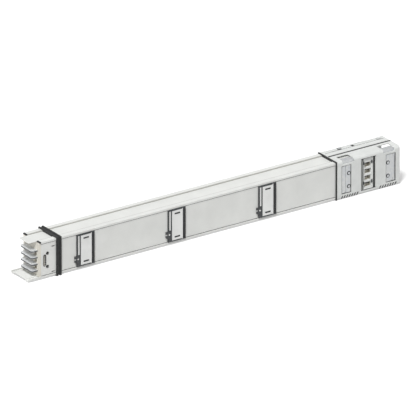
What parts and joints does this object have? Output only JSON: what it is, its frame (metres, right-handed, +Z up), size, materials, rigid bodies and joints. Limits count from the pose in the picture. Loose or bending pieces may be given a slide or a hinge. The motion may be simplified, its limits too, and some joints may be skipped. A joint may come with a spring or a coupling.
{
  "type": "busway section",
  "caption": "Straight enclosed busbar section with bare plug-in bars, sealing band, hinged tap-off doors on both sides and a joint block at the other end.",
  "frame": {"origin": "under the middle of the section, on the surface it lies on", "axes": "+X along the section from the plug-in end to the joint block, +Y from front to back, +Z up"},
  "size_m": [1.666, 0.123, 0.1608],
  "materials": {
    "painted_sheet": "satin powder coat",
    "cover_moulding": "fine moulded grain",
    "outlet_moulding": "charcoal, fine moulded grain",
    "door_moulding": "semi-gloss",
    "insulator": "moulded glass-filled polyester",
    "bar_metal": "brushed extrusion",
    "contact_metal": "tinned",
    "black_rubber": "matt",
    "zinc_steel": "zinc plated"
  },
  "bodies": {
    "section": {"casing_top": "painted_sheet", "casing_bottom": "painted_sheet", "side_plate_front": "painted_sheet", "side_plate_back": "painted_sheet", "end_comb": "insulator", "bar_support_1": "insulator", "bar_support_2": "insulator", "bar_support_3": "insulator", "outlet_seals": "black_rubber", "seal_band": "black_rubber", "block_gasket": "black_rubber", "joint_core": "insulator", "contact_jaws": "contact_metal", "block_cover_front": "cover_moulding", "block_cover_back": "cover_moulding", "block_outlet_front": "cover_moulding", "block_outlet_back": "cover_moulding", "block_latches": "outlet_moulding", "block_bolt": "zinc_steel", "bar_1": "bar_metal", "bar_2": "bar_metal", "bar_3": "bar_metal", "bar_4": "bar_metal", "outlet_frame_front_1": "outlet_moulding", "door_catch_front_1": "outlet_moulding", "outlet_frame_front_2": "outlet_moulding", "door_catch_front_2": "outlet_moulding", "outlet_frame_front_3": "outlet_moulding", "door_catch_front_3": "outlet_moulding", "clamp_plate_front_left": "zinc_steel", "cover_clip_front_left": "zinc_steel", "clamp_plate_front_right": "zinc_steel", "cover_clip_front_right": "zinc_steel", "outlet_frame_back_1": "outlet_moulding", "door_catch_back_1": "outlet_moulding", "outlet_frame_back_2": "outlet_moulding", "door_catch_back_2": "outlet_moulding", "outlet_frame_back_3": "outlet_moulding", "door_catch_back_3": "outlet_moulding", "clamp_plate_back_left": "zinc_steel", "cover_clip_back_left": "zinc_steel", "clamp_plate_back_right": "zinc_steel", "cover_clip_back_right": "zinc_steel"},
    "door_front_1": {"outlet_door_front_1": "door_moulding"},
    "door_front_2": {"outlet_door_front_2": "door_moulding"},
    "door_front_3": {"outlet_door_front_3": "door_moulding"},
    "door_back_1": {"outlet_door_back_1": "door_moulding"},
    "door_back_2": {"outlet_door_back_2": "door_moulding"},
    "door_back_3": {"outlet_door_back_3": "door_moulding"}
  },
  "joints": [
    {"name": "door_front_1_hinge", "type": "hinge", "parent": "section", "child": "door_front_1", "pos_m": [-0.5538, -0.05835, 0], "axis": [0, 0, 1], "range_deg": [0, 110]},
    {"name": "door_front_2_hinge", "type": "hinge", "parent": "section", "child": "door_front_2", "pos_m": [-0.1468, -0.05835, 0], "axis": [0, 0, 1], "range_deg": [0, 110]},
    {"name": "door_front_3_hinge", "type": "hinge", "parent": "section", "child": "door_front_3", "pos_m": [0.2602, -0.05835, 0], "axis": [0, 0, 1], "range_deg": [0, 110]},
    {"name": "door_back_1_hinge", "type": "hinge", "parent": "section", "child": "door_back_1", "pos_m": [-0.5538, 0.05835, 0], "axis": [0, 0, -1], "range_deg": [0, 110]},
    {"name": "door_back_2_hinge", "type": "hinge", "parent": "section", "child": "door_back_2", "pos_m": [-0.1468, 0.05835, 0], "axis": [0, 0, -1], "range_deg": [0, 110]},
    {"name": "door_back_3_hinge", "type": "hinge", "parent": "section", "child": "door_back_3", "pos_m": [0.2602, 0.05835, 0], "axis": [0, 0, -1], "range_deg": [0, 110]}
  ]
}
